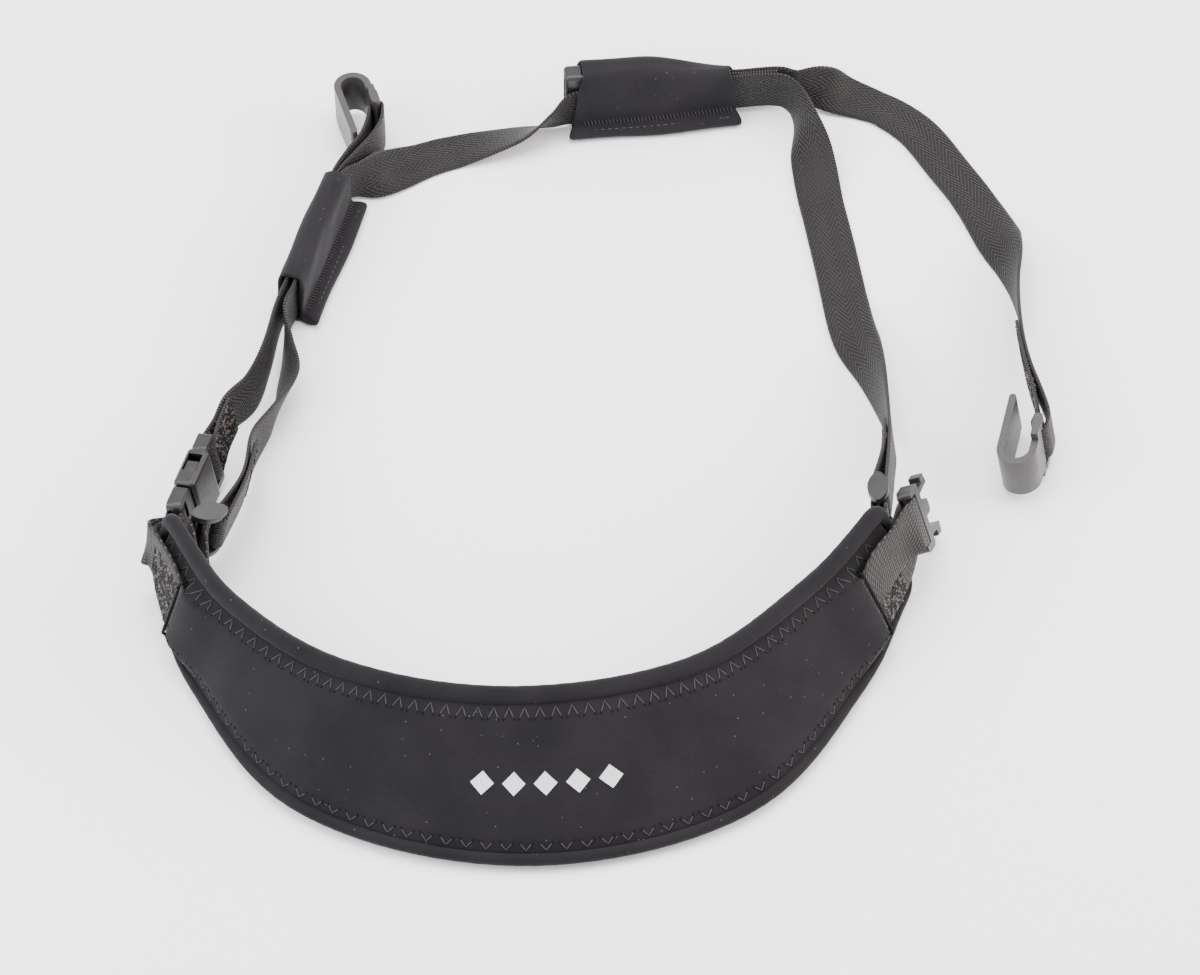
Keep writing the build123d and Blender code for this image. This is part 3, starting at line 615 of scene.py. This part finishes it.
# ---------------------------------------------------------------- webbing
def webbing_section():
    """Points (across, depth) round a strap's section: flat faces and rounded selvedges."""
    columns = [-9.5, -7.2, -4.8, -2.4, 0.0, 2.4, 4.8, 7.2, 9.5]
    half = WEB_THICK / 2
    top = [(x, half) for x in columns]
    bottom = [(x, -half) for x in reversed(columns)]
    edge, low = 9.9, half * 0.45
    return top + [(edge, low), (edge, -low)] + bottom + [(-edge, -low), (-edge, low)]


def make_webbing(node, finish):
    """A strap of webbing that follows its route and stays above the surface."""
    outline = webbing_section()
    points, cloth = [], []
    run, before = 0.0, None
    sections = sections_of(smooth_line(ROUTES[node], WEB_STEP))
    for section in sections:
        if before is not None:
            run += (section.origin - before).length
        before = section.origin.copy()
        reach = WEB_WIDTH / 2 * abs(section.x.z) + WEB_THICK / 2 * abs(section.y.z)
        section.origin.z = max(section.origin.z, reach)
        for across, depth in outline:
            point = section.at(across, depth) + TO_ORIGIN
            points.append(point)
            cloth.append((run, across, 0.0))
    faces = tube_faces(len(sections), len(outline))
    piece = make_piece(f"{node}_woven", points, faces, finish, ROOT, cloth)
    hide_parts(node)
    return piece


# ---------------------------------------------------------------- soft pieces
def smooth_step(value, low, high):
    t = max(0.0, min(1.0, (value - low) / (high - low)))
    return t * t * (3 - 2 * t)


def swell(piece, pinned, pressure, most):
    """Puffs a closed piece up as cloth under pressure, held at its seams, and keeps the result."""
    rest = [vertex.co.copy() for vertex in piece.data.vertices]
    piece.vertex_groups.new(name="seam").add(pinned, 1.0, "REPLACE")
    modifier = piece.modifiers.new("cloth", "CLOTH")
    settings = modifier.settings
    settings.quality = 6
    settings.mass = 0.2
    settings.tension_stiffness = 40
    settings.compression_stiffness = 40
    settings.shear_stiffness = 20
    settings.bending_stiffness = 2
    settings.use_pressure = True
    settings.uniform_pressure_force = pressure
    settings.effector_weights.gravity = 0
    settings.vertex_group_mass = "seam"
    for number in range(1, 21):
        bpy.context.scene.frame_set(number)
    evaluated = piece.evaluated_get(bpy.context.evaluated_depsgraph_get())
    result = bpy.data.meshes.new_from_object(evaluated)
    for old, vertex in zip(rest, result.vertices):
        move = vertex.co - old
        if move.length > most * MM:
            vertex.co = old + move.normalized() * most * MM
    piece.modifiers.remove(modifier)
    piece.vertex_groups.clear()
    piece.data = result
    bpy.context.scene.frame_set(1)


def surface_of(piece):
    """A search tree of a piece's final surface, in metres."""
    graph = bpy.context.evaluated_depsgraph_get()
    return BVHTree.FromObject(piece.evaluated_get(graph), graph)


def dropped(tree, place, inwards, rise):
    """The point, in millimetres, where a line from place first meets the surface, raised by rise."""
    hit = tree.ray_cast(place * MM, inwards)[0]
    return None if hit is None else hit / MM - inwards * rise


# ---------------------------------------------------------------- pad
def panel_sections():
    """Sections for the pad's panel, close together at its slits: (section, width, run, run to the end)."""
    sections, widths = pad_sections(FINE_STEP)
    runs = [0.0]
    for a, b in zip(sections, sections[1:]):
        runs.append(runs[-1] + (b.origin - a.origin).length)
    whole = runs[-1]
    kept, before = [], -PAD_STEP
    for section, width, run in zip(sections, widths, runs):
        to_end = min(run, whole - run)
        if run - before >= PAD_STEP or abs(to_end - SLIT - 0.4) < 1.2 or run == whole:
            kept.append((section, width, run, to_end))
            before = run
    return kept


def shell_depth(from_seam):
    """Height of the pad's cover or lining beyond its middle, rising inwards from the seams."""
    return SEAM_HALF + SEAM_RISE * smooth_step(from_seam, 0, SEAM_WIDE)


def cover_depth(to_end, across, low, high):
    """Height of the pad's cover above its middle: sunk along its seams, raised over the sewn tab ends."""
    from_seam = max(0, min(across - low, high - across))
    sewn = smooth_step(from_seam, 6.5, 4.0) * smooth_step(from_seam, 1.0, 2.5)
    depth = shell_depth(from_seam) - GROOVE * sewn
    raised = smooth_step(to_end, SLIT, SLIT + 0.8) * smooth_step(to_end, SLIT + 22, SLIT + 4)
    raised *= smooth_step(across, high - 4, high - 7) * smooth_step(across, low, low + 3.5)
    return depth + (TAB_TOP - depth) * raised


def make_pad_body(finish):
    """The padded panel between the rolled edges: a closed shell with a cover and a lining."""
    columns = 21
    points, cloth, pinned = [], [], []
    rows = panel_sections()
    for section, width, run, to_end in rows:
        spread = TUCK + 1.6 * smooth_step(to_end, 9, 0)
        low, high = ROLL_LOWER - spread - width / 2, width / 2 - ROLL_UPPER + spread
        for side in (1, -1):
            for k in range(columns):
                t = k / (columns - 1) if side > 0 else 1 - k / (columns - 1)
                across = low + (high - low) * t
                from_seam = min(t, 1 - t) * (high - low)
                if side > 0:
                    depth = cover_depth(to_end, across, low, high)
                else:
                    depth = shell_depth(from_seam)
                points.append(section.at(across, side * depth) + TO_ORIGIN)
                cloth.append((run, across, 0.0))
                if from_seam < 6.5 or to_end < SLIT + 26:
                    pinned.append(len(points) - 1)
    faces = tube_faces(len(rows), 2 * columns)
    piece = make_piece("pad_cover", points, faces, finish, ROOT, cloth)
    swell(piece, pinned, 4.0, 1.6)
    subdivide(piece)
    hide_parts("pad_core", "pad_face", "pad_lining")
    return piece


def edge_knots():
    """Knots round the pad's whole edge: place, outward normal of the pad, and the roll's width."""
    sections, widths = pad_sections(12.0)
    first, last = sections[0], sections[-1]
    knots = []

    def put(section, across, beyond, size):
        knots.append((*section.at(across, 0, beyond), *section.y, size))

    for section, width in zip(sections, widths):
        put(section, (ROLL_LOWER - width) / 2, 0, ROLL_LOWER)
    half = widths[-1] / 2
    put(last, 5 - half, ROLL_END * 0.45, ROLL_END)
    for share in (-0.5, 0.0, 0.5):
        put(last, share * half, ROLL_END / 2, ROLL_END)
    put(last, half - 7, ROLL_END * 0.4, ROLL_UPPER - 1)
    for section, width in reversed(list(zip(sections, widths))):
        put(section, (width - ROLL_UPPER) / 2, 0, ROLL_UPPER)
    half = widths[0] / 2
    put(first, half - 7, -ROLL_END * 0.4, ROLL_UPPER - 1)
    for share in (0.5, 0.0, -0.5):
        put(first, share * half, -ROLL_END / 2, ROLL_END)
    put(first, 5 - half, -ROLL_END * 0.45, ROLL_END)
    knots.append(knots[0])
    return knots


def make_edge_roll(finish):
    """The cover rolled round the pad's edge, dimpled a little by its stitches."""
    count = 14
    line = smooth_line(edge_knots(), 2.4)[:-1]
    points, cloth = [], []
    run = 0.0
    for i, row in enumerate(line):
        place, normal, size = Vector(row[:3]), Vector(row[3:6]), row[6]
        ahead = Vector(line[(i + 1) % len(line)][:3]) - Vector(line[i - 1][:3])
        section = Section(place, normal.cross(ahead), ahead)
        run += ahead.length / 2
        dimple = 1 + 0.02 * math.sin(2 * math.pi * run / STITCH_PITCH)
        for k in range(count):
            angle = 2 * math.pi * k / count
            wide = math.copysign(abs(math.cos(angle)) ** 0.85, math.cos(angle)) * size / 2
            deep = math.copysign(abs(math.sin(angle)) ** 0.85, math.sin(angle)) * ROLL_HALF * 0.95
            points.append(section.at(wide * dimple, deep * dimple) + TO_ORIGIN)
            cloth.append((run, wide + deep, 0.0))
    faces = tube_faces(len(line), count, closed_ends=False)
    last = (len(line) - 1) * count
    for k in range(count):
        n = (k + 1) % count
        faces.append((last + k, last + n, n, k))
    piece = make_piece("pad_edge_roll", points, faces, finish, ROOT, cloth)
    subdivide(piece)
    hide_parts("roll_upper", "roll_lower", "roll_left", "roll_right")


def pad_spot(tree, section, across, side, rise):
    """A point on the pad's cover (side 1) or lining (side -1), raised by rise."""
    outwards = section.y * side
    return dropped(tree, section.at(across) + outwards * SEEK_FROM + TO_ORIGIN, -outwards, rise)


def make_pad_stitches(pad, thread, shadow_thread):
    """Chevron stitches beside both long rolls, with a near-black dot at each of their ends: a needle hole,
    made big as painted shade of the scalloped panel edge.
    """
    tree = surface_of(pad)
    sections, widths = pad_sections(STITCH_PITCH / STITCH_SECTIONS)
    for face, side in (("cover", 1), ("lining", -1)):
        for edge, sign, size in (("upper", 1, ROLL_UPPER), ("lower", -1, ROLL_LOWER)):
            high = STITCH_HIGH if sign > 0 else STITCH_HIGH * 0.7
            runs, hole_shadows = [], []
            for first in range(4, len(sections) - 12, STITCH_SECTIONS):
                run = []
                for k in range(7):
                    section, width = sections[first + k], widths[first + k]
                    near = width / 2 - size - 1.0
                    across = sign * (near - high * abs(k - 3) / 3)
                    spot = pad_spot(tree, section, across, side, 0.16 if 0 < k < 6 else -0.3)
                    if spot is not None:
                        run.append(spot)
                if len(run) > 3:
                    runs.append(run)
                    # Each end gets a near-black dot: a needle hole, enlarged into painted shade of the
                    # scalloped panel edge beside it.
                    for end, nxt in ((run[0], run[1]), (run[-1], run[-2])):
                        out = sections[first].y * side * 0.33
                        hole_shadows.append([end + out, end + out + (nxt - end).normalized() * 1.1])
            thread_mesh(f"pad_zigzag_{face}_{edge}", runs, 0.25, thread, ROOT)
            thread_mesh(f"pad_needle_holes_{face}_{edge}", hole_shadows, 0.75, shadow_thread, ROOT)


def make_slit_edge_shadows(finish):
    """A black tube along the cover's cut edge at each slit, where the tabs come out: painted shadow of the
    gap there, over the cut edge's own dark thickness.
    """
    sections, widths = pad_sections(FINE_STEP)
    runs = []
    before_slit = round(SLIT / FINE_STEP)
    for index in (before_slit + 1, len(sections) - 2 - before_slit):
        section = sections[index]
        low, high = ROLL_LOWER - TUCK - widths[index] / 2, widths[index] / 2 - ROLL_UPPER + TUCK
        run = []
        across = low + 1.5
        while across < high - 5:
            depth = cover_depth(SLIT + 0.8, across, low, high)
            run.append(section.at(across, depth - 0.4) + TO_ORIGIN)
            across += 1.0
        runs.append(run)
    # Black tube: painted shadow of the slit's gap.
    thread_mesh("pad_slit_edge_shadows", runs, 0.8, finish, ROOT)


def make_motif(pad, finish):
    """A plain printed row of lozenges on the cover, in place of any mark."""
    tree = surface_of(pad)
    sections = pad_sections(FINE_STEP)[0]
    middle = min(range(len(sections)), key=lambda i: abs(sections[i].origin.x + MOTIF_X))
    points, faces = [], []
    for number in range(MOTIF_COUNT):
        centre = middle + round((number - (MOTIF_COUNT - 1) / 2) * MOTIF_PITCH / FINE_STEP)
        start = len(points)
        size = 10
        for rise in (0.1, -0.25):
            for i in range(size + 1):
                for k in range(size + 1):
                    u, v = i / size - 0.5, k / size - 0.5
                    section = sections[centre + i + k - size]
                    points.append(pad_spot(tree, section, MOTIF_ACROSS + (u - v) * MOTIF_HIGH, 1, rise))
        row = size + 1
        layer = row * row
        for i in range(size):
            for k in range(size):
                a = start + i * row + k
                faces.append((a, a + row, a + row + 1, a + 1))
                faces.append((a + layer, a + layer + 1, a + layer + row + 1, a + layer + row))
        edge = [i * row for i in range(row)] + [size * row + k for k in range(1, row)]
        edge += [i * row + size for i in range(size - 1, -1, -1)] + list(range(size - 1, 0, -1))
        for a, b in zip(edge, edge[1:] + edge[:1]):
            faces.append((start + a, start + b, start + b + layer, start + a + layer))
    make_piece("pad_print", points, faces, finish, ROOT)


# ---------------------------------------------------------------- bar tacks
def make_tacks(name, spots):
    """Rough sewing: a short stitch at each spot of (place, along, across); about a third are pale, as painted
    glints of light on the thread.
    """
    dark_runs, pale_runs = [], []
    for place, along, across in spots:
        lean_by = random.uniform(-0.9, 0.9)
        reach = random.uniform(0.6, 1.1)
        out = along.cross(across).normalized()
        way = (along * lean_by + across).normalized() * reach
        run = [place - way - out * 0.25, place - way * 0.5 + out * 0.12, place + way * 0.5 + out * 0.12,
               place + way - out * 0.25]
        runs = pale_runs if random.random() < GLINT_SHARE else dark_runs
        runs.append(run)
    thread_mesh(f"{name}_dark", dark_runs, 0.3, MATERIALS["tack_thread"], ROOT)
    thread_mesh(f"{name}_pale", pale_runs, 0.3, MATERIALS["glint_thread"], ROOT)


def strap_spots(node, start, stop, side, reach=8.6):
    """Stitch places on one face of a strap, from start to stop millimetres along it, or back from its end."""
    sections = sections_of(smooth_line(ROUTES[node], 0.5))
    if start < 0:
        whole = sum((b.origin - a.origin).length for a, b in zip(sections, sections[1:]))
        start, stop = whole + start, whole + stop
    spots, run, row = [], 0.0, start
    for a, b in zip(sections, sections[1:]):
        run += (b.origin - a.origin).length
        if run < row or run > stop:
            continue
        row += 1.15
        across = -reach + random.uniform(0, 1.2)
        while across < reach:
            place = a.at(across, side * (WEB_THICK / 2 + 0.05)) + TO_ORIGIN
            spots.append((place, a.z * side, a.x))
            across += random.uniform(1.3, 2.1)
    return spots


def tab_spots(tab, ends, low, high):
    """Stitch places on a tab's outer face, where it lies on the pad: ends are runs from the pad's end."""
    tree = surface_of(tab)
    sections = pad_sections(FINE_STEP)[0]
    if tab.name.startswith("tab_outer_right"):
        sections = sections[::-1]
    spots, index = [], ends[0] / FINE_STEP
    while index < ends[1] / FINE_STEP:
        across = low + random.uniform(0, 1.2)
        while across < high:
            section = sections[round(index)]
            place = dropped(tree, section.at(across) + section.y * SEEK_FROM + TO_ORIGIN, -section.y, 0.05)
            if place is not None:
                spots.append((place, section.z, section.x * -1))
            across += random.uniform(1.3, 2.1)
        index += 2.3
    return spots


# ---------------------------------------------------------------- sleeves
def size_at(sizes, x):
    """Bore width and height at x, between the stated sizes."""
    for (x0, w0, h0), (x1, w1, h1) in zip(sizes, sizes[1:]):
        if x <= x1:
            t = smooth_step(x, x0, x1)
            return w0 + (w1 - w0) * t, h0 + (h1 - h0) * t
    return sizes[-1][1:]


def arc_points(middle, radius, start, count):
    """Points on a quarter circle from the start angle, in degrees, turning left."""
    found = []
    for k in range(count):
        angle = math.radians(start + 90 * k / (count - 1))
        found.append((middle[0] + radius * math.cos(angle), middle[1] + radius * math.sin(angle)))
    return found


def between(a, b, count):
    """Points strictly between a and b."""
    return [(a[0] + (b[0] - a[0]) * k / (count + 1), a[1] + (b[1] - a[1]) * k / (count + 1))
            for k in range(1, count + 1)]


def sleeve_outlines(width, height):
    """Outer and bore outlines of a sleeve, (sideways, upwards), point for point, flange included."""
    outlines = []
    for grow, radius in ((NEOPRENE, 5.2), (0.0, 1.5)):
        half, top, bottom = width / 2 + grow, NEOPRENE + height + grow, NEOPRENE - grow
        radius = min(radius, half - 0.1)
        ring = arc_points((half - radius, top - radius), radius, 0, CORNER_POINTS)
        ring += between(ring[-1], (radius - half, top), TOP_POINTS)
        ring += arc_points((radius - half, top - radius), radius, 90, CORNER_POINTS)
        if grow:
            ring += between(ring[-1], (-half, 7.2), SIDE_POINTS)
            ring += [(-half - side, rise) for side, rise in FLANGE_OUTLINE]
        else:
            ring += between(ring[-1], (-half, bottom + radius), SIDE_POINTS)
            ring += arc_points((radius - half, bottom + radius), radius, 180, len(FLANGE_OUTLINE))
        ring += between(ring[-1], (half - radius, bottom), TOP_POINTS)
        ring += arc_points((half - radius, bottom + radius), radius, 270, CORNER_POINTS)
        ring += between(ring[-1], (half, top - radius), SIDE_POINTS)
        outlines.append(ring)
    return outlines


def make_sleeve(name, place, sizes, first, end_lean):
    """A soft cloth tube with thick lips, and its flange: the two cloth edges sewn flat beside it."""
    rows = SLEEVE_ROWS
    rings = [(first + (SLEEVE_LONG - first) * i / rows, 0.0) for i in range(rows + 1)]
    rings += [(SLEEVE_LONG + 0.35, 0.3), (SLEEVE_LONG + 0.35, 0.7)]
    rings += [(first + (SLEEVE_LONG - first) * i / rows, 1.0) for i in range(rows, -1, -1)]
    rings += [(first - 0.35, 0.7), (first - 0.35, 0.3)]
    points, cloth = [], []
    flange_start = 2 * CORNER_POINTS + TOP_POINTS + SIDE_POINTS
    for x, inner in rings:
        outer, bore = sleeve_outlines(*size_at(sizes, x))
        along = (x - first) / (SLEEVE_LONG - first)
        to_end = 2 * along - 1
        for k, (out, hole) in enumerate(zip(outer, bore)):
            side = out[0] + (hole[0] - out[0]) * inner
            rise = out[1] + (hole[1] - out[1]) * inner
            skin = 1 - inner
            step = x
            if flange_start <= k < flange_start + len(FLANGE_OUTLINE):
                reach = min(1, FLANGE_OUTLINE[k - flange_start][0] / FLANGE_REACH)
                step += skin * reach * 2.6 * math.copysign(abs(to_end) ** 5, to_end)
                side += skin * reach * 0.6 * math.sin(along * 7.0)
                rise += skin * reach * 0.35 * math.sin(along * 9.0 + 1)
            else:
                top = size_at(sizes, x)[1]
                step += 2.4 * smooth_step(rise, top - 3, top + 3) * -to_end ** 9
                side += skin * (0.35 * math.sin(along * 5.3 + rise * 0.25) + 0.2 * math.sin(along * 13 + k))
                swelling = 0.4 * math.sin(math.pi * along) + 0.22 * math.sin(along * 11 + 0.5 * k)
                rise += skin * swelling * (rise > 9)
            step += end_lean * (1 - min(1, rise / 20)) * max(0, 1 - 3 * along)
            spot = place.at(step, side, rise)
            spot.z = max(spot.z, 0.05)
            points.append(spot + TO_ORIGIN)
            cloth.append((x, 1.6 * k, 0.0))
    count = len(outer)
    faces = tube_faces(len(rings), count, closed_ends=False)
    last = (len(rings) - 1) * count
    for k in range(count):
        n = (k + 1) % count
        faces.append((last + k, last + n, n, k))
    jersey = MATERIALS["sleeve_jersey"]
    tube = make_piece(f"{name}_tube", points, faces, jersey, name, cloth)
    subdivide(tube)
    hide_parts(name)
    make_sleeve_stitches(name, place, sizes, first)


def make_sleeve_stitches(name, place, sizes, first):
    """Close stitches over the groove between tube and flange, and a dashed line on the flange."""
    groove, dashes = [], []
    x = first + 2
    while x < SLEEVE_LONG - 2:
        edge = -(size_at(sizes, x)[0] / 2 + NEOPRENE)
        start = place.at(x, edge - 0.1, 7.6) + TO_ORIGIN
        middle = place.at(x + 0.4, edge - 0.75, 6.3) + TO_ORIGIN
        end = place.at(x + 0.8, edge - 2.0, 5.7) + TO_ORIGIN
        groove.append([start, middle, end])
        x += 1.6
    x = first + 3
    while x < SLEEVE_LONG - 3:
        side = -(size_at(sizes, x)[0] / 2 + NEOPRENE) - 4.3
        dashes.append([place.at(x + step, side, 5.15) + TO_ORIGIN for step in (0, 0.9, 1.8)])
        x += 3.1
    thread_mesh(f"{name}_groove_stitches", groove, 0.24, MATERIALS["thread"], name)
    thread_mesh(f"{name}_flange_stitches", dashes, 0.2, MATERIALS["pale_thread"], name)


# ---------------------------------------------------------------- plastic
def moulded(node, body, finish):
    """A plastic piece with softly rounded edges, on the CAD piece's own surface."""
    mesh = frame["nodes"][node].data.copy()
    mesh.materials.clear()
    mesh.materials.append(finish)
    piece = bpy.data.objects.new(f"{node}_moulded", mesh)
    bpy.context.scene.collection.objects.link(piece)
    weld = piece.modifiers.new("weld", "WELD")
    weld.merge_threshold = 0.01 * MM
    bevel = piece.modifiers.new("bevel", "BEVEL")
    bevel.width = 0.4 * MM
    bevel.segments = 2
    bevel.limit_method = "ANGLE"
    bevel.angle_limit = math.radians(40)
    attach(piece, body)
    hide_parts(node)


# ---------------------------------------------------------------- run
MATERIALS = {
    "jersey": make_jersey("pad_jersey", (0.0082, 0.0072, 0.0087), (0.0125, 0.011, 0.0132)),
    "sleeve_jersey": make_jersey("sleeve_jersey", (0.0096, 0.0086, 0.0105), (0.0145, 0.013, 0.0158)),
    "herringbone": make_herringbone("webbing_herringbone", (0.0028, 0.0023, 0.0025), (0.043, 0.0355, 0.037)),
    "twill": make_twill("webbing_twill", (0.003, 0.0025, 0.0026), (0.068, 0.056, 0.056)),
    "plastic": make_plastic("plastic_grey", (0.0145, 0.0128, 0.014)),
    "pale_plastic": make_plastic("plastic_pale_grey", (0.041, 0.0365, 0.0395)),
    "thread": make_thread("thread_dark", (0.045, 0.04, 0.043)),
    "tack_thread": make_thread("thread_tack", (0.014, 0.012, 0.012)),
    # Pale tack stitches: painted glints on the thread.
    "glint_thread": make_thread("thread_painted_glint", (0.14, 0.122, 0.12)),
    "pale_thread": make_thread("thread_pale", (0.07, 0.065, 0.07)),
    # Near-black: painted shadow, at the needle hole dots and along the slit edges.
    "shadow_thread": make_thread("painted_shadow_black", (0.0012, 0.0012, 0.0012)),
    "print": make_thread("print_white", (0.62, 0.62, 0.62)),
}
make_camera()
make_stage()
straps = {}
for name in ROUTES:
    straps[name] = make_webbing(name, MATERIALS["twill" if name.startswith("tab") else "herringbone"])
pad_cover = make_pad_body(MATERIALS["jersey"])
make_edge_roll(MATERIALS["jersey"])
make_pad_stitches(pad_cover, MATERIALS["thread"], MATERIALS["shadow_thread"])
# Black tubes at the slits: painted shadow of their gap.
make_slit_edge_shadows(MATERIALS["shadow_thread"])
make_motif(pad_cover, MATERIALS["print"])
make_tacks("tab_outer_left_tacks", tab_spots(straps["tab_outer_left"], (2, SLIT - 0.5), -18, 9))
make_tacks("tab_outer_right_tacks", tab_spots(straps["tab_outer_right"], (6, SLIT - 0.5), -18, -5))
for number, (name, start, stop) in enumerate(TACKED):
    spots = strap_spots(name, start, stop, 1) + strap_spots(name, start, stop, -1)
    make_tacks(f"{name}_tacks_{number}", spots)
NARROW_SLEEVE = [(0, *BORE_NARROW), (SLEEVE_LONG, *BORE_NARROW)]
REAR_SLEEVE = [(0, *BORE_WIDE), (WIDE_LONG, *BORE_WIDE), (SLEEVE_LONG, *BORE_NARROW)]
for name, place, sizes, first, end_lean in (("sleeve_left", sleeve_left_at, NARROW_SLEEVE, 0.0, -1.0),
                                            ("sleeve_rear", sleeve_rear_at, REAR_SLEEVE, -2.0, -3.0)):
    make_sleeve(name, place, sizes, first, end_lean)
for body, members in frame["record"]["behaviour"]["bodies"].items():
    for name in members:
        if not frame["nodes"][name].hide_render:
            moulded(name, body, MATERIALS["pale_plastic" if name.startswith("hook") else "plastic"])
